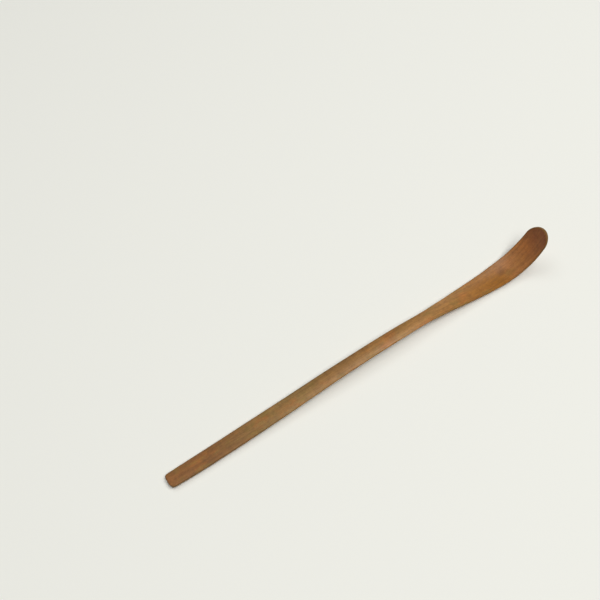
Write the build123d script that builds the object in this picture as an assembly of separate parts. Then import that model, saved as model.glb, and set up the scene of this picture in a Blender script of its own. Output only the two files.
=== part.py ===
import math
import os

from build123d import *

# A scoop for powdered tea, carved from one strip of wood, in millimetres and degrees.
# It lies as it does on a table, on its heel and on the back of its bend.
# X runs from the heel to the tip, Z is up, and the origin lies under the middle of its box.

# Side view: the line half-way through the strip
foot_length = 156.9         # from the heel to where the bend touches the table
arch_rise = 4.8             # room under the arch between the two
lead_radius = 52.6          # past the foot the strip starts to lift,
lead_angle = 9.7
bend_radius = 21.2          # turns up tightly
bend_angle = 53.4
tip_radius = 35.4           # and eases off towards the tip
tip_angle = 8.9

# Width of the strip, square to the line
heel_width = 6.25
shaft_width = 6.85
neck_width = 5.45           # the narrowest place, where the bowl begins
bowl_width = 11.25
heel_corner = 2.2           # corners of the cut heel, seen from above
tip_round = 5.84            # length of the half oval that ends the bowl

# Thickness of the strip in its middle
heel_thickness = 3.1
neck_thickness = 2.55
bowl_thickness = 1.9
tip_thickness = 1.3

# How far the two faces leave a flat plane between the strip's edges
heel_crown = 0.15           # the top swells, least at the heel
shaft_crown = 0.5
bowl_hollow = 0.9           # the bowl is hollowed
tip_hollow = 0.5
shaft_belly = 1.5           # the back is rounded, so the strip is thin at its edges
bowl_belly = 1.9
tip_belly = 1.0
edge_round = 0.45           # softening of every edge,
edge_share = 0.35           # which never takes more than this of the rim's height
rest_depth = 0.1            # what is worn flat where the scoop rests

# Room under the arch: place along the foot length, share of the rise
arch_shares = [
    (0.12, 0.02),
    (0.24, 0.19),
    (0.36, 0.475),
    (0.48, 0.82),
    (0.60, 1.0),
    (0.72, 0.95),
    (0.84, 0.55),
    (0.93, 0.155),
]

# Width: place along the line, share of the way from one named width to the next
heel_shares = [(0.02, 0.2), (0.042, 0.5), (0.10, 0.9), (0.157, 1.0)]
taper_shares = [(0.235, 0.93), (0.314, 0.77), (0.393, 0.55), (0.471, 0.38), (0.565, 0.27)]
flare_shares = [(0.67, 0.105), (0.743, 0.43), (0.78, 0.6), (0.816, 0.765), (0.869, 0.955)]
bowl_shares = [(0.916, 1.0), (0.957, 0.975), (1.0, 0.915)]
neck_share = 0.6175

# Places along the line where the other sizes change
grip_share = 0.2            # the flatter top of the heel ends
swell_share = 0.4           # the shaft's crown is full from here
crown_share = 0.52          # to here
hollow_share = 0.83         # the bowl is hollow to its full depth from here
bowl_share = 0.92           # to here
thin_share = 0.89           # the bowl is down to its own thickness

# Sections: round the two ends as shares of a quarter turn, and evenly along the rest
heel_turn_shares = [0, 0.25, 0.5, 0.75, 1.0]
heel_end_shares = [1.4, 1.8]            # past the heel's corners, in corner radii
tip_turn_shares = [1.0, 0.78, 0.58, 0.4, 0.24, 0.1]
middle_steps = 18

half_turn = 180


def blend(start, end, share):
    return start + (end - start) * share


def along(rows, place):
    """Value at a place on a table of places and values"""
    for (low, first), (high, last) in zip(rows, rows[1:]):
        if place <= high:
            return blend(first, last, (place - low) / (high - low))
    return rows[-1][1]


def arc_length(radius, angle):
    return radius * math.pi * angle / half_turn


line_length = foot_length + arc_length(lead_radius, lead_angle)
line_length += arc_length(bend_radius, bend_angle) + arc_length(tip_radius, tip_angle)

thickness_rows = [
    (0, heel_thickness),
    (neck_share, neck_thickness),
    (thin_share, bowl_thickness),
    (1, tip_thickness),
]
crown_rows = [
    (0, heel_crown),
    (grip_share, heel_crown),
    (swell_share, shaft_crown),
    (crown_share, shaft_crown),
    (hollow_share, -bowl_hollow),
    (bowl_share, -bowl_hollow),
    (1, -tip_hollow),
]
belly_rows = [
    (0, shaft_belly),
    (crown_share, shaft_belly),
    (hollow_share, bowl_belly),
    (bowl_share, bowl_belly),
    (1, tip_belly),
]


def width_rows():
    rows = [(0, heel_width)]
    rows += [(place, blend(heel_width, shaft_width, share)) for place, share in heel_shares]
    rows += [(place, blend(neck_width, shaft_width, share)) for place, share in taper_shares]
    rows += [(neck_share, neck_width)]
    rows += [(place, blend(neck_width, bowl_width, share)) for place, share in flare_shares]
    rows += [(place, bowl_width * share) for place, share in bowl_shares]
    return rows


def middle_line():
    """Side view of the line half-way through the strip: an arch, then three arcs"""
    points = [(0, heel_thickness / 2)]
    for place, share in arch_shares:
        x = foot_length * place
        points.append((x, arch_rise * share + along(thickness_rows, x / line_length) / 2))
    points.append((foot_length, along(thickness_rows, foot_length / line_length) / 2))
    arch = Spline(*points, tangents=[(1, 0), (1, 0)])
    lead = JernArc(arch @ 1, arch % 1, lead_radius, lead_angle)
    bend = JernArc(lead @ 1, lead % 1, bend_radius, bend_angle)
    tip = JernArc(bend @ 1, bend % 1, tip_radius, tip_angle)
    return Plane.XZ * Wire([arch, lead, bend, tip])


def drop(distance, radius):
    """How far a rounded corner of this radius is cut back at a distance from its end"""
    if distance >= radius:
        return 0
    return radius - math.sqrt(radius**2 - (radius - distance) ** 2)


def face_heights(middle, swell, share):
    """Heights of a swelling face: where its softened edge starts, its pole and its corner"""
    edge = middle - swell * share**2
    return edge, middle + swell * share**2, edge - 2 * swell * share * (1 - share)


def section(line, x):
    """Closed outline of the strip, square to its line at a distance from the heel"""
    place = x / line.length
    left = line.length - x
    full_width = along(width_rows(), place)
    full_thickness = along(thickness_rows, place)
    width = full_width - 2 * drop(x, heel_corner)
    if left < tip_round:
        width = full_width * math.sqrt(1 - (1 - left / tip_round) ** 2)
    end_round = min(edge_round, edge_share * full_thickness)
    thickness = full_thickness - 2 * drop(min(x, left), end_round)

    shrink = width / full_width
    crown = along(crown_rows, place) * shrink**2
    belly = along(belly_rows, place) * shrink**2
    side = width / 2
    edge = side - edge_round * shrink
    top_edge, top_pole, top_corner = face_heights(thickness / 2, crown, edge / side)
    back_edge, back_pole, back_corner = face_heights(-thickness / 2, -belly, edge / side)
    soft = min(edge_round, edge_share * (top_corner - back_corner))
    high = top_corner - soft
    low = back_corner + soft
    outline = [
        Bezier((-edge, top_edge), (0, top_pole), (edge, top_edge)),
        Bezier((edge, top_edge), (side, top_corner), (side, high)),
        Line((side, high), (side, low)),
        Bezier((side, low), (side, back_corner), (edge, back_edge)),
        Bezier((edge, back_edge), (0, back_pole), (-edge, back_edge)),
        Bezier((-edge, back_edge), (-side, back_corner), (-side, low)),
        Line((-side, low), (-side, high)),
        Bezier((-side, high), (-side, top_corner), (-edge, top_edge)),
    ]
    spot = line.position_at(x, PositionMode.LENGTH)
    ahead = line.tangent_at(x, PositionMode.LENGTH)
    return Plane(origin=spot, x_dir=(0, 1, 0), z_dir=ahead) * make_face(outline)


def strip(line):
    """The strip in three lofts that share their end sections: heel, middle and tip"""
    heel = [heel_corner * (1 - math.cos(share * math.pi / 2)) for share in heel_turn_shares]
    heel += [heel_corner * share for share in heel_end_shares]
    tip = [tip_round * (1 - math.cos(share * math.pi / 2)) for share in tip_turn_shares]
    tip = [line.length - left for left in tip]
    middle = [blend(heel[-1], tip[0], i / middle_steps) for i in range(middle_steps + 1)]
    lofts = [loft([section(line, x) for x in places]) for places in (heel, middle, tip)]
    return lofts[0] + lofts[1] + lofts[2]


def tea_scoop():
    """The strip, set down on the table and worn flat where it rests"""
    scoop = Pos(0, 0, -rest_depth) * strip(middle_line())
    box = scoop.bounding_box()
    scoop = Pos(-box.center().X, 0, 0) * scoop
    below = (Align.CENTER, Align.CENTER, Align.MAX)
    return scoop - Box(2 * box.size.X, 2 * box.size.Y, heel_thickness, align=below)


os.makedirs("parts", exist_ok=True)
export_step(tea_scoop(), "parts/tea_scoop.step")
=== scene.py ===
import math

import bpy
import numpy as np
from mathutils import Matrix, Vector


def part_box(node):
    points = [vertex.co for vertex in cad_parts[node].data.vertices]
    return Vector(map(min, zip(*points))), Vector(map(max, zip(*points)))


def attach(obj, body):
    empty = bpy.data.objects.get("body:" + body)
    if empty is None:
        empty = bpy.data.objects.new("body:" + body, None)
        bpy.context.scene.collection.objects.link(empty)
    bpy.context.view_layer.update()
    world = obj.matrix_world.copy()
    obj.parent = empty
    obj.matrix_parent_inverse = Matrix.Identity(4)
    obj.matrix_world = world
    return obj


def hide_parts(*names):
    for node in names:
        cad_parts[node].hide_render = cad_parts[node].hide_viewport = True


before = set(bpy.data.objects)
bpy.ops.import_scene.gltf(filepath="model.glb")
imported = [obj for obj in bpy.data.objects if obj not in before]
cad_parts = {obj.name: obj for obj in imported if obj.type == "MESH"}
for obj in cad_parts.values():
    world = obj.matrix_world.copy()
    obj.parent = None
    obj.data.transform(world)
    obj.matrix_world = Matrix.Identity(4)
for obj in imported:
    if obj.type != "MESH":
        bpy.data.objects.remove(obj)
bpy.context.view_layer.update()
mm = 0.001


def addNode(tree, kind, **settings):
    node = tree.nodes.new(kind)
    for name, value in settings.items():
        setattr(node, name, value)
    return node


def plug(tree, socket, value):
    if isinstance(value, bpy.types.NodeSocket):
        tree.links.new(value, socket)
    else:
        socket.default_value = value


def calc(tree, operation, *values):
    node = addNode(tree, "ShaderNodeMath", operation=operation)
    for socket, value in zip(node.inputs, values):
        plug(tree, socket, value)
    return node.outputs[0]


def remap(tree, value, fromLow, fromHigh, toLow=0.0, toHigh=1.0, smooth=False):
    easing = "SMOOTHSTEP" if smooth else "LINEAR"
    node = addNode(tree, "ShaderNodeMapRange", interpolation_type=easing)
    for socket, setting in zip(node.inputs, (value, fromLow, fromHigh, toLow, toHigh)):
        plug(tree, socket, setting)
    return node.outputs["Result"]


def floatCurve(tree, value, points):
    node = addNode(tree, "ShaderNodeFloatCurve")
    curve = node.mapping.curves[0]
    while len(curve.points) < len(points):
        curve.points.new(0.5, 0.5)
    for point, (place, share) in zip(curve.points, points):
        point.location = (place, share)
        point.handle_type = "AUTO_CLAMPED"
    node.mapping.update()
    plug(tree, node.inputs["Value"], value)
    return node.outputs["Value"]


def joinXyz(tree, x=0.0, y=0.0, z=0.0):
    node = addNode(tree, "ShaderNodeCombineXYZ")
    for socket, value in zip(node.inputs, (x, y, z)):
        plug(tree, socket, value)
    return node.outputs[0]


def splitXyz(tree, vector):
    node = addNode(tree, "ShaderNodeSeparateXYZ")
    plug(tree, node.inputs[0], vector)
    return node.outputs


# The scoop: lengths in millimetres, places as shares of its length from the heel
scoop = {
    "inputs": {                 # the tree's inputs
        "Heel Width": 6.25,
        "Shaft Width": 6.85,
        "Neck Width": 5.45,
        "Bowl Width": 11.25,
        "Near Heel Corner": 2.5,
        "Far Heel Corner": 1.2,
        "Tip Round": 5.84,      # length of the half oval that ends the bowl
        "Heel Thickness": 3.1,
        "Bowl Thickness": 1.9,
        "Tip Thickness": 1.3,
        "Heel Crown": 0.15,
        "Shaft Crown": 0.5,
        "Bowl Hollow": 0.9,
        "Tip Hollow": 0.5,
        "Shaft Belly": 1.5,
        "Bowl Belly": 1.9,
        "Tip Belly": 1.0,
        "Edge Round": 0.45,
        "Knife Marks": 0.035,
        "Hand Wobble": 0.05,
        "Rest Depth": 0.1,      # worn flat where it touches the table
    },
    "seed": 5.0,
    "footLength": 156.9,        # heel to where the bend touches the table
    "archRise": 4.8,            # place along the foot and share of this rise:
    "archShares": [(0.12, 0.02), (0.24, 0.19), (0.36, 0.475), (0.48, 0.82),
                   (0.6, 1.0), (0.72, 0.95), (0.84, 0.55), (0.93, 0.155)],
    "bendArcs": [(52.6, 9.7), (21.2, 53.4), (35.4, 8.9)],      # radius and degrees of each arc
    "lineStep": 0.4,
    # place along the strip and share of the way from one size to the next
    "heelToShaft": [(0, 0), (0.02, 0.2), (0.042, 0.5), (0.1, 0.9), (0.157, 1)],
    "shaftToNeck": [(0, 0), (0.157, 0), (0.235, 0.07), (0.314, 0.23), (0.393, 0.45),
                    (0.471, 0.62), (0.565, 0.73), (0.6175, 1)],
    "neckToBowl": [(0, 0), (0.6175, 0), (0.67, 0.105), (0.743, 0.43), (0.78, 0.6),
                   (0.816, 0.765), (0.869, 0.955), (0.916, 1)],
    "tipNarrowing": [(0, 1), (0.916, 1), (0.957, 0.975), (1, 0.915)],
    "thinning": [(0, 0), (0.6175, 0.455), (0.89, 1)],
    "crowning": [(0, 0), (0.2, 0.1), (0.4, 1), (1, 1)],
    "hollowing": [(0, 0), (0.52, 0), (0.83, 1), (1, 1)],
    "tipEasing": [(0, 0), (0.92, 0), (1, 1)],
    "edgeShare": 0.38,          # the softened edge never takes more than this of the rim's height
    "markScale": (90.0, 420.0),     # knife marks to the metre, along and across
    "markDetail": 1.0,
    "wobbleScale": 38.0,            # swings to the metre
    "wobbleDetail": 0.5,
    "rowsAlong": 420,           # mesh rows along the rim,
    "rowsAcross": 26,           # and on each face from its middle to the rim
    "cutRows": 0.035,           # shares of the rows along: the straight cut ends,
    "cornerRows": 0.075,        # the heel's corner ends,
    "ovalRows": 0.9,            # and the tip's oval begins
    "flatRows": 0.62,           # share of the rows across before the edge is softened
    "heelReach": 3.2,           # rows fan out round the heel from this far in
    "mergeGap": 0.002,
}


def lineLength(size):
    bend = sum(radius * math.radians(turn) for radius, turn in size["bendArcs"])
    return size["footLength"] + bend


def archHeights(size, places):
    # clamped cubic through the heights of the line half-way through the strip
    knots = np.array([(0, 0)] + size["archShares"] + [(1, 0)])
    x = knots[:, 0] * size["footLength"]
    thinned = np.interp(x / lineLength(size), *zip(*size["thinning"]))
    heel, bowl = size["inputs"]["Heel Thickness"], size["inputs"]["Bowl Thickness"]
    z = knots[:, 1] * size["archRise"] + (heel + (bowl - heel) * thinned) / 2
    gap, rise = np.diff(x), np.diff(z) / np.diff(x)
    system = np.eye(len(x))
    right = np.zeros(len(x))
    for i in range(1, len(x) - 1):
        system[i, i - 1:i + 2] = gap[i], 2 * (gap[i - 1] + gap[i]), gap[i - 1]
        right[i] = 3 * (gap[i] * rise[i - 1] + gap[i - 1] * rise[i])
    slope = np.linalg.solve(system, right)
    i = np.clip(np.searchsorted(x, places) - 1, 0, len(gap) - 1)
    t = (places - x[i]) / gap[i]
    return (z[i] * (1 + 2 * t) * (1 - t) ** 2 + z[i + 1] * t**2 * (3 - 2 * t)
            + gap[i] * (slope[i] * t * (1 - t) ** 2 - slope[i + 1] * t**2 * (1 - t)))


def sideLine(size):
    # points of the line half-way through the strip, seen from the side
    places = np.linspace(0, size["footLength"], round(size["footLength"] / size["lineStep"]))
    points = [(x, 0, z) for x, z in zip(places, archHeights(size, places))]
    heading = 0.0
    for radius, degrees in size["bendArcs"]:
        steps = round(radius * math.radians(degrees) / size["lineStep"])
        turn = math.radians(degrees) / steps
        chord = 2 * radius * math.sin(turn / 2)
        for i in range(steps):
            x, y, z = points[-1]
            aim = heading + turn / 2
            points.append((x + chord * math.cos(aim), 0, z + chord * math.sin(aim)))
            heading += turn
    return [tuple(v * mm for v in point) for point in points]


def newTree(name, inputs, outputs):
    tree = bpy.data.node_groups.new(name, "GeometryNodeTree")
    for label, kind in inputs:
        tree.interface.new_socket(label, in_out="INPUT", socket_type=kind)
    for label, kind in outputs:
        tree.interface.new_socket(label, in_out="OUTPUT", socket_type=kind)
    given = addNode(tree, "NodeGroupInput").outputs
    result = addNode(tree, "NodeGroupOutput").inputs
    return tree, given, result


sectionInputs = ["Heel Width", "Shaft Width", "Neck Width", "Bowl Width", "Heel Thickness",
                 "Bowl Thickness", "Tip Thickness", "Heel Crown", "Shaft Crown", "Bowl Hollow",
                 "Tip Hollow", "Shaft Belly", "Bowl Belly", "Tip Belly"]


def stripSectionTree(size):
    # half width, thickness, crown and belly at a place along the strip
    inputs = [(name, "NodeSocketFloat") for name in ["Place"] + sectionInputs]
    outputs = [(name, "NodeSocketFloat") for name in ("Half Width", "Thickness", "Crown", "Belly")]
    tree, given, result = newTree("stripSection", inputs, outputs)
    place = given["Place"]

    def share(name):
        return floatCurve(tree, place, size[name])

    def blend(first, last, part):
        return calc(tree, "MULTIPLY_ADD", calc(tree, "SUBTRACT", last, first), part, first)

    width = given["Heel Width"]
    steps = (("Heel Width", "Shaft Width", "heelToShaft"),
             ("Shaft Width", "Neck Width", "shaftToNeck"),
             ("Neck Width", "Bowl Width", "neckToBowl"))
    for first, last, name in steps:
        change = calc(tree, "SUBTRACT", given[last], given[first])
        width = calc(tree, "MULTIPLY_ADD", change, share(name), width)
    width = calc(tree, "MULTIPLY", width, share("tipNarrowing"))
    plug(tree, result["Half Width"], calc(tree, "MULTIPLY", width, 0.5))

    easing, hollowing = share("tipEasing"), share("hollowing")
    thickness = blend(given["Heel Thickness"], given["Bowl Thickness"], share("thinning"))
    plug(tree, result["Thickness"], blend(thickness, given["Tip Thickness"], easing))
    hollow = blend(given["Bowl Hollow"], given["Tip Hollow"], easing)
    crown = blend(given["Heel Crown"], given["Shaft Crown"], share("crowning"))
    plug(tree, result["Crown"], blend(crown, calc(tree, "MULTIPLY", hollow, -1.0), hollowing))
    bowlBelly = blend(given["Bowl Belly"], given["Tip Belly"], easing)
    plug(tree, result["Belly"], blend(given["Shaft Belly"], bowlBelly, hollowing))
    return tree


def stripHalfTree(size, sectionTree):
    # half of the strip while still straight, from its middle plane to its rim:
    # x along, y across, z through
    names = ["Length", "Heel Corner", "Tip Round", "Edge Round"] + sectionInputs
    tree, given, result = newTree("stripHalf", [(name, "NodeSocketFloat") for name in names],
                                  [("Geometry", "NodeSocketGeometry")])
    quarter = math.pi / 2
    cutRows, cornerRows, ovalRows = size["cutRows"], size["cornerRows"], size["ovalRows"]

    def add(first, second):
        return calc(tree, "ADD", first, second)

    def less(first, second):
        return calc(tree, "SUBTRACT", first, second)

    def times(first, second):
        return calc(tree, "MULTIPLY", first, second)

    def timesAdd(first, second, third):
        return calc(tree, "MULTIPLY_ADD", first, second, third)

    def section(along):
        node = addNode(tree, "GeometryNodeGroup", node_tree=sectionTree)
        plug(tree, node.inputs["Place"], calc(tree, "DIVIDE", along, given["Length"]))
        for name in sectionInputs:
            plug(tree, node.inputs[name], given[name])
        return node.outputs

    def sine(value):
        return calc(tree, "SINE", value)

    def cosine(value):
        return calc(tree, "COSINE", value)

    # a sheet with both faces in it: u along the rim, v across one face and back over the other
    grid = addNode(tree, "GeometryNodeMeshGrid")
    rows = (("Size X", 1.0), ("Size Y", 1.0),
            ("Vertices X", size["rowsAlong"]), ("Vertices Y", 2 * size["rowsAcross"]))
    for name, value in rows:
        grid.inputs[name].default_value = value
    spot = splitXyz(tree, addNode(tree, "GeometryNodeInputPosition").outputs[0])
    u = add(spot[0], 0.5)
    v = add(spot[1], 0.5)

    # outline: a straight cut, a round corner, the long side and a half oval
    cut = remap(tree, u, 0.0, cutRows)
    corner = remap(tree, u, cutRows, cornerRows, 0.0, quarter)
    oval = remap(tree, u, ovalRows, 1.0, quarter, 0.0)
    lastSide = less(given["Length"], given["Tip Round"])
    along = remap(tree, u, cornerRows, ovalRows, given["Heel Corner"], lastSide)
    along = less(along, times(given["Heel Corner"], cosine(corner)))
    along = timesAdd(given["Tip Round"], cosine(oval), along)
    rim = section(along)
    across = less(rim["Half Width"], times(given["Heel Corner"], less(1.0, sine(corner))))
    across = less(across, times(less(rim["Half Width"], given["Heel Corner"]), less(1.0, cut)))
    across = times(across, sine(oval))
    middle = remap(tree, u, cornerRows, ovalRows, size["heelReach"] * mm, lastSide)

    # softened edge, never more than its share of the rim's height
    bulge = add(rim["Crown"], rim["Belly"])
    reach = calc(tree, "DIVIDE", across, rim["Half Width"])
    rimHeight = less(rim["Thickness"], times(bulge, times(reach, reach)))
    soft = calc(tree, "MINIMUM", given["Edge Round"], times(rimHeight, size["edgeShare"]))
    lengthwise = less(along, middle)
    span = calc(tree, "SQRT", add(times(lengthwise, lengthwise), times(across, across)))
    softShare = calc(tree, "DIVIDE", soft, span)

    # from the middle of a face to its rim
    rowShare = (2 * size["rowsAcross"] - 1) / (size["rowsAcross"] - 1)
    row = times(calc(tree, "MINIMUM", v, less(1.0, v)), rowShare)
    flat = remap(tree, row, 0.0, size["flatRows"])
    roll = remap(tree, row, size["flatRows"], 1.0, 0.0, quarter)
    out = timesAdd(softShare, sine(roll), times(flat, less(1.0, softShare)))
    x = timesAdd(lengthwise, out, middle)
    y = times(across, out)
    here = section(x)
    side = calc(tree, "DIVIDE", y, here["Half Width"])
    side = times(side, side)
    halfThickness = times(here["Thickness"], 0.5)
    rounding = times(soft, less(1.0, cosine(roll)))
    top = less(less(halfThickness, times(here["Crown"], side)), rounding)
    back = add(less(times(here["Belly"], side), halfThickness), rounding)
    onBack = calc(tree, "GREATER_THAN", v, 0.5)
    z = timesAdd(less(back, top), onBack, top)

    # how far out a point lies stays on it for the darker edges
    rimMark = addNode(tree, "GeometryNodeStoreNamedAttribute", data_type="FLOAT", domain="POINT")
    rimMark.inputs["Name"].default_value = "rimShare"
    plug(tree, rimMark.inputs["Geometry"], grid.outputs["Mesh"])
    plug(tree, rimMark.inputs["Value"], out)
    placed = addNode(tree, "GeometryNodeSetPosition")
    plug(tree, placed.inputs["Geometry"], rimMark.outputs[0])
    plug(tree, placed.inputs["Position"], joinXyz(tree, x, y, z))
    plug(tree, result["Geometry"], placed.outputs[0])
    return tree


def carvedStrip(tree, size, given, geometry):
    # knife marks on the faces
    x, y, z = splitXyz(tree, addNode(tree, "GeometryNodeInputPosition").outputs[0])
    alongScale, acrossScale = size["markScale"]
    marks = addNode(tree, "ShaderNodeTexNoise", noise_dimensions="4D")
    plug(tree, marks.inputs["Vector"], joinXyz(tree, calc(tree, "MULTIPLY", x, alongScale),
                                               calc(tree, "MULTIPLY", y, acrossScale),
                                               calc(tree, "MULTIPLY", z, acrossScale)))
    plug(tree, marks.inputs["W"], given["Seed"])
    marks.inputs["Scale"].default_value = 1.0
    marks.inputs["Detail"].default_value = size["markDetail"]
    depth = calc(tree, "SUBTRACT", marks.outputs[0], 0.5)
    depth = calc(tree, "MULTIPLY", depth, given["Knife Marks"])
    dent = addNode(tree, "ShaderNodeVectorMath", operation="SCALE")
    plug(tree, dent.inputs[0], addNode(tree, "GeometryNodeInputNormal").outputs[0])
    plug(tree, dent.inputs["Scale"], depth)
    carved = addNode(tree, "GeometryNodeSetPosition")
    plug(tree, carved.inputs["Geometry"], geometry)
    plug(tree, carved.inputs["Offset"], dent.outputs[0])
    return carved.outputs[0]


def bentAlong(tree, size, given, line, length, geometry):
    # the straight strip laid along the side line, with a slight wobble from side to side
    x, y, z = splitXyz(tree, addNode(tree, "GeometryNodeInputPosition").outputs[0])
    wobble = addNode(tree, "ShaderNodeTexNoise", noise_dimensions="1D", normalize=False)
    swing = calc(tree, "MULTIPLY_ADD", x, size["wobbleScale"], given["Seed"])
    plug(tree, wobble.inputs["W"], swing)
    wobble.inputs["Scale"].default_value = 1.0
    wobble.inputs["Detail"].default_value = size["wobbleDetail"]
    sway = calc(tree, "MULTIPLY", wobble.outputs[0], given["Hand Wobble"])

    along = addNode(tree, "GeometryNodeSampleCurve", mode="LENGTH", use_all_curves=True)
    plug(tree, along.inputs["Curves"], line)
    plug(tree, along.inputs["Length"], x)
    ahead = splitXyz(tree, along.outputs["Tangent"])
    base = splitXyz(tree, along.outputs["Position"])
    onLine = calc(tree, "MAXIMUM", calc(tree, "MINIMUM", x, length), 0.0)
    beyond = calc(tree, "SUBTRACT", x, onLine)
    bentX = calc(tree, "SUBTRACT", base[0], calc(tree, "MULTIPLY", ahead[2], z))
    bentX = calc(tree, "MULTIPLY_ADD", ahead[0], beyond, bentX)
    bentX = calc(tree, "ADD", bentX, given["Heel Place"])
    bentZ = calc(tree, "MULTIPLY_ADD", ahead[0], z, base[2])
    bentZ = calc(tree, "MULTIPLY_ADD", ahead[2], beyond, bentZ)
    bentZ = calc(tree, "MAXIMUM", calc(tree, "SUBTRACT", bentZ, given["Rest Depth"]), 0.0)
    bent = addNode(tree, "GeometryNodeSetPosition")
    plug(tree, bent.inputs["Geometry"], geometry)
    plug(tree, bent.inputs["Position"], joinXyz(tree, bentX, calc(tree, "ADD", y, sway), bentZ))
    return bent.outputs[0]


def bentStripTree(size):
    halfTree = stripHalfTree(size, stripSectionTree(size))
    numbers = list(size["inputs"]) + ["Heel Place", "Seed"]
    inputs = [("Side Line", "NodeSocketGeometry"), ("Wood", "NodeSocketMaterial")]
    inputs += [(name, "NodeSocketFloat") for name in numbers]
    tree, given, result = newTree("bentStrip", inputs, [("Geometry", "NodeSocketGeometry")])
    line = addNode(tree, "GeometryNodeMeshToCurve")
    plug(tree, line.inputs["Mesh"], given["Side Line"])
    length = addNode(tree, "GeometryNodeCurveLength")
    plug(tree, length.inputs[0], line.outputs[0])

    def half(cornerName):
        node = addNode(tree, "GeometryNodeGroup", node_tree=halfTree)
        plug(tree, node.inputs["Length"], length.outputs[0])
        plug(tree, node.inputs["Heel Corner"], given[cornerName])
        for name in ["Tip Round", "Edge Round"] + sectionInputs:
            plug(tree, node.inputs[name], given[name])
        return node.outputs[0]

    nearHalf = addNode(tree, "GeometryNodeTransform")
    plug(tree, nearHalf.inputs["Geometry"], half("Near Heel Corner"))
    nearHalf.inputs["Scale"].default_value = (1, -1, 1)
    flipped = addNode(tree, "GeometryNodeFlipFaces")
    plug(tree, flipped.inputs[0], half("Far Heel Corner"))
    halves = addNode(tree, "GeometryNodeJoinGeometry")
    tree.links.new(nearHalf.outputs[0], halves.inputs[0])
    tree.links.new(flipped.outputs[0], halves.inputs[0])
    closed = addNode(tree, "GeometryNodeMergeByDistance")
    plug(tree, closed.inputs["Geometry"], halves.outputs[0])
    closed.inputs["Distance"].default_value = size["mergeGap"] * mm

    # the straight strip's own coordinates stay on it for the grain
    straight = addNode(tree, "GeometryNodeStoreNamedAttribute",
                       data_type="FLOAT_VECTOR", domain="POINT")
    straight.inputs["Name"].default_value = "grainPlace"
    plug(tree, straight.inputs["Geometry"], closed.outputs[0])
    plug(tree, straight.inputs["Value"], addNode(tree, "GeometryNodeInputPosition").outputs[0])

    carved = carvedStrip(tree, size, given, straight.outputs[0])
    bent = bentAlong(tree, size, given, line.outputs[0], length.outputs[0], carved)
    smooth = addNode(tree, "GeometryNodeSetShadeSmooth")
    plug(tree, smooth.inputs["Geometry"], bent)
    real = addNode(tree, "GeometryNodeRealizeInstances")
    plug(tree, real.inputs[0], smooth.outputs[0])
    finish = addNode(tree, "GeometryNodeSetMaterial")
    plug(tree, finish.inputs["Geometry"], real.outputs[0])
    plug(tree, finish.inputs["Material"], given["Wood"])
    plug(tree, result["Geometry"], finish.outputs[0])
    return tree


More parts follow.
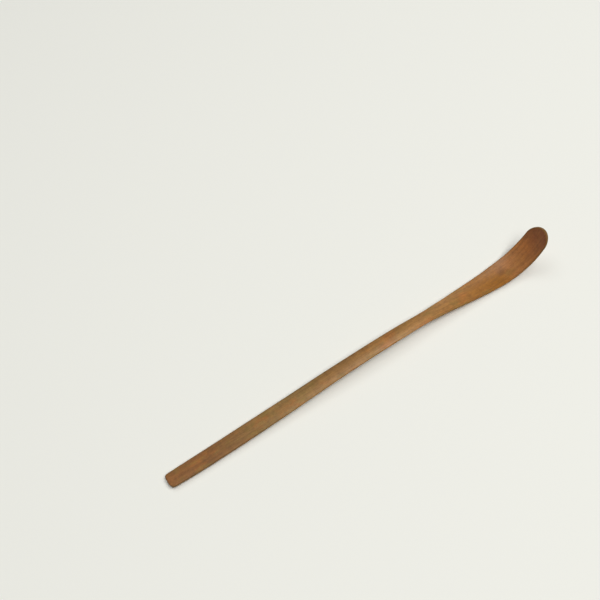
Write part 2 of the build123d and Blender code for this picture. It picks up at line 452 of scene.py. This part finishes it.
# The wood: lengths in millimetres, colours as linear red, green and blue
woodLook = {
    "tones": [                  # place along the strip, colour
        (0.0, (0.225, 0.092, 0.027)),
        # this darker heel stop holds painted shade where the light falls off, as well as handling
        (0.1, (0.185, 0.083, 0.025)),
        (0.3, (0.262, 0.151, 0.05)),
        (0.4, (0.268, 0.136, 0.042)),
        (0.55, (0.288, 0.145, 0.041)),
        (0.66, (0.335, 0.161, 0.046)),
        (0.84, (0.285, 0.113, 0.016)),
        (0.9, (0.325, 0.133, 0.039)),
        (1.0, (0.238, 0.073, 0.023)),
    ],
    "toneWander": 0.06,                 # how far the tones drift, as a share of the length
    "orangeColor": (0.36, 0.13, 0.03),
    "oliveColor": (0.2, 0.13, 0.03),
    "patchRange": (0.48, 0.72),         # where a patch starts and is full,
    "patchShare": 0.6,                  # and how strong it is then
    "bowlPlace": (160.0, 175.0),        # millimetres along, where the olive patches fade
    "oliveInBowl": 0.15,
    "ringColor": (0.16, 0.07, 0.02),
    "ringShare": 0.18,
    "ringGap": 1.7,
    "ringMiddle": (-14.0, -9.0),        # the tree's middle, across and through
    "ringBow": 9.0,                     # how far the rings swing along the strip
    "ringStart": 0.35,                  # a ring darkens from here
    "ringEnd": 0.93,                    # to here, as shares of the gap
    "noises": {     # per millimetre along and across the grain, offset, detail, roughness
        "wander": (0.05, 0.15, 0.0, 2.0, 0.5),
        "orangePatch": (0.11, 0.22, 7.0, 3.0, 0.6),
        "olivePatch": (0.13, 0.3, 31.0, 3.0, 0.6),
        "ringBow": (0.018, 0.05, 3.0, 1.0, 0.5),
        "fibre": (0.11, 3.0, 11.0, 3.0, 0.6),
        "broadBand": (0.05, 1.1, 19.0, 1.0, 0.5),
        "curl": (0.34, 0.2, 23.0, 2.0, 0.6),
        "mottle": (0.8, 1.2, 41.0, 2.0, 0.6),
        "speck": (2.0, 2.8, 53.0, 1.0, 0.5),
        "pore": (0.5, 8.0, 5.0, 1.0, 0.5),
        "stainEdge": (0.35, 0.5, 2.0, 2.0, 0.5),
    },
    "shades": {     # how much each layer of the grain lightens the wood, or darkens it
        "fibre": -0.6,
        "broadBand": 0.4,
        "curl": 0.55,
        "mottle": 0.55,
        "speck": 0.3,
    },
    "farPaintedShade": 0.085,                  # painted shade, per millimetre towards the far edge, where the band lies:
    "farShadeBand": [(0, 0), (0.25, 0.05), (0.38, 1), (0.6, 0.85), (0.7, 0.05), (1, 0)],
    "poreColor": (0.12, 0.045, 0.014),  # also the heel's cut end
    "poreRange": (0.64, 0.72),
    "poreShare": 0.45,
    "stainColor": (0.12, 0.045, 0.012),
    "stainPlace": (164, 0.3, 1),        # along, across and through
    "stainRange": (1.0, 5.0),           # it fades between these distances from there
    "stainShare": 0.6,
    "stainRagged": 3.0,
    "edgeColor": (0.17, 0.095, 0.03),
    "edgeStart": 0.88,                  # share of the way to the rim where the dark edge starts
    "edgeShade": [(0, 0.75), (0.06, 0.4), (0.15, 0.22), (0.84, 0.22), (0.95, 0.8), (1, 0.8)],
    "cutReach": (0.1, 0.9),             # the heel's cut end is darker over this
    "cutShare": 0.35,
    "roughness": (0.38, 0.54),
    "roughRange": (0.3, 0.9),           # of the fibres and pores together
    "poreRoughness": 0.3,
    "gloss": (0.26, 0.08),              # on the faces and at the rim
    "glossStart": 0.85,
    "relief": 0.02,                     # depth of a pore
    "fibreRelief": -0.6,                # of that depth
}


def mixColor(tree, share, first, second):
    node = addNode(tree, "ShaderNodeMix", data_type="RGBA")
    sockets = {socket.identifier: socket for socket in node.inputs}
    for name, value in (("Factor_Float", share), ("A_Color", first), ("B_Color", second)):
        plug(tree, sockets[name], (*value, 1) if isinstance(value, tuple) else value)
    return next(socket for socket in node.outputs if socket.identifier == "Result_Color")


def toneRamp(tree, place, tones):
    ramp = addNode(tree, "ShaderNodeValToRGB")
    ramp.color_ramp.interpolation = "EASE"
    stops = ramp.color_ramp.elements
    while len(stops) < len(tones):
        stops.new(0.5)
    for stop, (at, color) in zip(stops, tones):
        stop.position = at
        stop.color = (*color, 1)
    plug(tree, ramp.inputs[0], place)
    return ramp.outputs[0]


def growthRings(tree, look, y, z, bow):
    # rings cut almost flat: 0 between them and 1 at the dark end of each
    middleY, middleZ = look["ringMiddle"]
    across = calc(tree, "MULTIPLY_ADD", bow, look["ringBow"], calc(tree, "SUBTRACT", y, middleY))
    through = calc(tree, "SUBTRACT", z, middleZ)
    squares = calc(tree, "MULTIPLY", through, through)
    squares = calc(tree, "MULTIPLY_ADD", across, across, squares)
    ring = calc(tree, "FRACT", calc(tree, "DIVIDE", calc(tree, "SQRT", squares), look["ringGap"]))
    darkening = remap(tree, ring, look["ringStart"], 1.0, smooth=True)
    return calc(tree, "MULTIPLY", darkening, remap(tree, ring, look["ringEnd"], 1.0, 1.0, 0.0))


def rubbedWood(look, length):
    material = bpy.data.materials.new("rubbedWood")
    material.use_nodes = True
    tree = material.node_tree
    shader = tree.nodes["Principled BSDF"]
    grain = addNode(tree, "ShaderNodeAttribute", attribute_name="grainPlace").outputs["Vector"]
    rim = addNode(tree, "ShaderNodeAttribute", attribute_name="rimShare").outputs["Fac"]
    x, y, z = (calc(tree, "DIVIDE", part, mm) for part in splitXyz(tree, grain))
    place = calc(tree, "DIVIDE", x, length)

    def noise(name):
        along, across, shift, detail, roughness = look["noises"][name]
        node = addNode(tree, "ShaderNodeTexNoise")
        spot = joinXyz(tree, calc(tree, "MULTIPLY_ADD", x, along, shift),
                       calc(tree, "MULTIPLY", y, across), calc(tree, "MULTIPLY", z, across))
        plug(tree, node.inputs["Vector"], spot)
        for label, value in (("Scale", 1.0), ("Detail", detail), ("Roughness", roughness)):
            node.inputs[label].default_value = value
        return node.outputs[0]

    def centred(value):
        return calc(tree, "SUBTRACT", value, 0.5)

    # tone along the strip: a heel darkened by handling and by painted shade where the light falls
    # off, a lighter shaft, redder bowl and a dark tip
    wander = calc(tree, "MULTIPLY_ADD", centred(noise("wander")), look["toneWander"], place)
    color = toneRamp(tree, wander, look["tones"])

    # soft patches of orange and olive brown, with less olive in the bowl
    patch = (*look["patchRange"], 0.0, look["patchShare"])
    orange = remap(tree, noise("orangePatch"), *patch, smooth=True)
    color = mixColor(tree, orange, color, look["orangeColor"])
    olive = remap(tree, noise("olivePatch"), *patch, smooth=True)
    outsideBowl = remap(tree, x, *look["bowlPlace"], 1.0, look["oliveInBowl"])
    color = mixColor(tree, calc(tree, "MULTIPLY", olive, outsideBowl), color, look["oliveColor"])
    ring = growthRings(tree, look, y, z, centred(noise("ringBow")))
    ring = calc(tree, "MULTIPLY", ring, look["ringShare"])
    color = mixColor(tree, ring, color, look["ringColor"])

    # fibres, bands, a slight curl, mottling and specks lighten and darken the wood
    fibre = noise("fibre")
    shade = 1.0
    for name, strength in look["shades"].items():
        layer = fibre if name == "fibre" else noise(name)
        shade = calc(tree, "MULTIPLY_ADD", centred(layer), strength, shade)

    # painted shade: darker along the far side of the shaft, as a rounder top turning from the
    # light would be
    farShadeBand = calc(tree, "MULTIPLY", floatCurve(tree, place, look["farShadeBand"]), look["farPaintedShade"])
    shade = calc(tree, "SUBTRACT", shade, calc(tree, "MULTIPLY", farShadeBand, y))
    shaded = addNode(tree, "ShaderNodeVectorMath", operation="SCALE")
    plug(tree, shaded.inputs[0], color)
    plug(tree, shaded.inputs["Scale"], shade)

    # short dark pores, and a tea stain in the bowl
    pore = remap(tree, noise("pore"), *look["poreRange"])
    poreMix = calc(tree, "MULTIPLY", pore, look["poreShare"])
    color = mixColor(tree, poreMix, shaded.outputs[0], look["poreColor"])
    away = addNode(tree, "ShaderNodeVectorMath", operation="DISTANCE")
    plug(tree, away.inputs[0], joinXyz(tree, x, y, z))
    away.inputs[1].default_value = look["stainPlace"]
    distance = away.outputs["Value"]
    distance = calc(tree, "MULTIPLY_ADD", noise("stainEdge"), look["stainRagged"], distance)
    stain = remap(tree, distance, *look["stainRange"], look["stainShare"], 0.0, smooth=True)
    color = mixColor(tree, stain, color, look["stainColor"])

    # edges darker towards the rim, most at the heel and the tip, and the heel's cut end darker
    edge = remap(tree, rim, look["edgeStart"], 1.0, smooth=True)
    edge = calc(tree, "MULTIPLY", edge, floatCurve(tree, place, look["edgeShade"]))
    color = mixColor(tree, edge, color, look["edgeColor"])
    cut = remap(tree, x, *look["cutReach"], look["cutShare"], 0.0)
    color = mixColor(tree, cut, color, look["poreColor"])
    plug(tree, shader.inputs["Base Color"], color)

    # rougher on the fibres and in the pores, and less gloss where the edge turns away
    rough = calc(tree, "ADD", fibre, calc(tree, "MULTIPLY", pore, look["poreRoughness"]))
    rough = remap(tree, rough, *look["roughRange"], *look["roughness"])
    plug(tree, shader.inputs["Roughness"], rough)
    gloss = remap(tree, rim, look["glossStart"], 1.0, *look["gloss"], smooth=True)
    plug(tree, shader.inputs["Specular IOR Level"], gloss)
    bump = addNode(tree, "ShaderNodeBump")
    bump.inputs["Distance"].default_value = look["relief"] * mm
    height = calc(tree, "SUBTRACT", calc(tree, "MULTIPLY", fibre, look["fibreRelief"]), pore)
    plug(tree, bump.inputs["Height"], height)
    plug(tree, shader.inputs["Normal"], bump.outputs[0])
    print("wood:", len(look["tones"]), "tones and", len(look["noises"]), "layers of grain")
    return material


def makeScoop(size):
    line = bpy.data.meshes.new("sideLine")
    points = sideLine(size)
    line.from_pydata(points, [(i, i + 1) for i in range(len(points) - 1)], [])
    host = bpy.data.objects.new("sideLine", line)
    bpy.context.scene.collection.objects.link(host)
    tree = bentStripTree(size)
    modifier = host.modifiers.new("bentStrip", "NODES")
    modifier.node_group = tree
    sockets = [item for item in tree.interface.items_tree if item.in_out == "INPUT"]
    socketOf = {item.name: item.identifier for item in sockets}
    for name, value in size["inputs"].items():
        modifier[socketOf[name]] = value * mm
    modifier[socketOf["Heel Place"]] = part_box("tea_scoop")[0].x
    modifier[socketOf["Seed"]] = size["seed"]
    modifier[socketOf["Wood"]] = rubbedWood(woodLook, lineLength(size))
    bpy.context.view_layer.update()
    shaped = host.evaluated_get(bpy.context.evaluated_depsgraph_get())
    mesh = bpy.data.meshes.new_from_object(shaped)
    mesh.name = "carvedScoop"
    piece = bpy.data.objects.new("carvedScoop", mesh)
    bpy.context.scene.collection.objects.link(piece)
    bpy.data.objects.remove(host)
    print("scoop:", len(mesh.vertices), "vertices", len(mesh.polygons), "faces")
    return piece


carvedScoop = makeScoop(scoop)
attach(carvedScoop, "root")
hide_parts("tea_scoop")

floorLook = {"size": 1.4, "color": (0.85, 0.85, 0.79)}      # metres across


def makeFloor(look):
    half = look["size"] / 2
    corners = [(-half, -half, 0), (half, -half, 0), (half, half, 0), (-half, half, 0)]
    mesh = bpy.data.meshes.new("paleFloor")
    mesh.from_pydata(corners, [], [(0, 1, 2, 3)])
    floor = bpy.data.objects.new("paleFloor", mesh)
    bpy.context.scene.collection.objects.link(floor)
    material = bpy.data.materials.new("paleFloor")
    material.use_nodes = True
    shader = material.node_tree.nodes["Principled BSDF"]
    shader.inputs["Base Color"].default_value = (*look["color"], 1)
    shader.inputs["Roughness"].default_value = 1.0
    shader.inputs["Specular IOR Level"].default_value = 0.0
    mesh.materials.append(material)
    print("floor:", look["size"], "m across")


makeFloor(floorLook)

lightLook = {
    "lamps": [          # name, place and size in metres, watts, seen in the gloss
        ("overCamera", (0.3, -0.79, 2.0), (2.2, 0.8), 30.2, True),
        ("overTip", (0.65, -0.17, 2.0), (1.3, 1.0), 14.2, True),
        ("farSide", (-0.05, 0.92, 2.0), (1.5, 1.2), 8.8, False),
    ],
    "skyLight": 0.03,
    "skySeen": (0.85, 0.85, 0.79),      # what the camera and the gloss see instead
}


def makeLight(look):
    for name, place, size, watts, inGloss in look["lamps"]:
        lamp = bpy.data.lights.new(name, "AREA")
        lamp.shape = "ELLIPSE"
        lamp.size, lamp.size_y = size
        lamp.energy = watts
        lampObject = bpy.data.objects.new(name, lamp)
        lampObject.location = place
        lampObject.rotation_euler = Vector(place).to_track_quat("Z", "Y").to_euler()
        lampObject.visible_glossy = inGloss
        bpy.context.scene.collection.objects.link(lampObject)
    world = bpy.data.worlds.new("paleRoom")
    world.use_nodes = True
    bpy.context.scene.world = world
    tree = world.node_tree
    glow = tree.nodes["Background"]
    glow.inputs["Color"].default_value = (1, 1, 1, 1)
    glow.inputs["Strength"].default_value = look["skyLight"]
    seen = addNode(tree, "ShaderNodeBackground")
    seen.inputs["Color"].default_value = (*look["skySeen"], 1)
    rays = addNode(tree, "ShaderNodeLightPath").outputs
    seenShare = calc(tree, "MAXIMUM", rays["Is Camera Ray"], rays["Is Glossy Ray"])
    seenShare = calc(tree, "MAXIMUM", seenShare, rays["Is Transmission Ray"])
    choice = addNode(tree, "ShaderNodeMixShader")
    plug(tree, choice.inputs[0], seenShare)
    tree.links.new(glow.outputs[0], choice.inputs[1])
    tree.links.new(seen.outputs[0], choice.inputs[2])
    tree.links.new(choice.outputs[0], tree.nodes["World Output"].inputs["Surface"])
    print("light:", len(look["lamps"]), "lamps and a faint sky")


makeLight(lightLook)

cameraLook = {
    "place": (-69.609, -105.88, 265.909),       # millimetres
    "yaw": -23.4225,
    "elevation": 59.047,
    "roll": -10.290,
    "lens": 42.421,
    "sensor": 36,
    "nearClip": 0.01,
}


def makeCamera(look):
    yaw, lift, roll = (math.radians(look[name]) for name in ("yaw", "elevation", "roll"))
    level = math.cos(lift)
    back = Vector((math.sin(yaw) * level, -math.cos(yaw) * level, math.sin(lift)))
    right = Vector((math.cos(yaw), math.sin(yaw), 0))
    up = back.cross(right)
    turnedRight = right * math.cos(roll) + up * math.sin(roll)
    turnedUp = up * math.cos(roll) - right * math.sin(roll)
    turn = Matrix((turnedRight, turnedUp, back)).transposed().to_4x4()
    camera = bpy.data.cameras.new("camera")
    camera.lens = look["lens"]
    camera.sensor_width = look["sensor"]
    camera.clip_start = look["nearClip"]
    cameraObject = bpy.data.objects.new("camera", camera)
    cameraObject.matrix_world = Matrix.Translation(Vector(look["place"]) * mm) @ turn
    bpy.context.scene.collection.objects.link(cameraObject)
    bpy.context.scene.camera = cameraObject
    print("camera:", look["lens"], "mm lens")


makeCamera(cameraLook)
bpy.context.scene.view_settings.view_transform = "Standard"
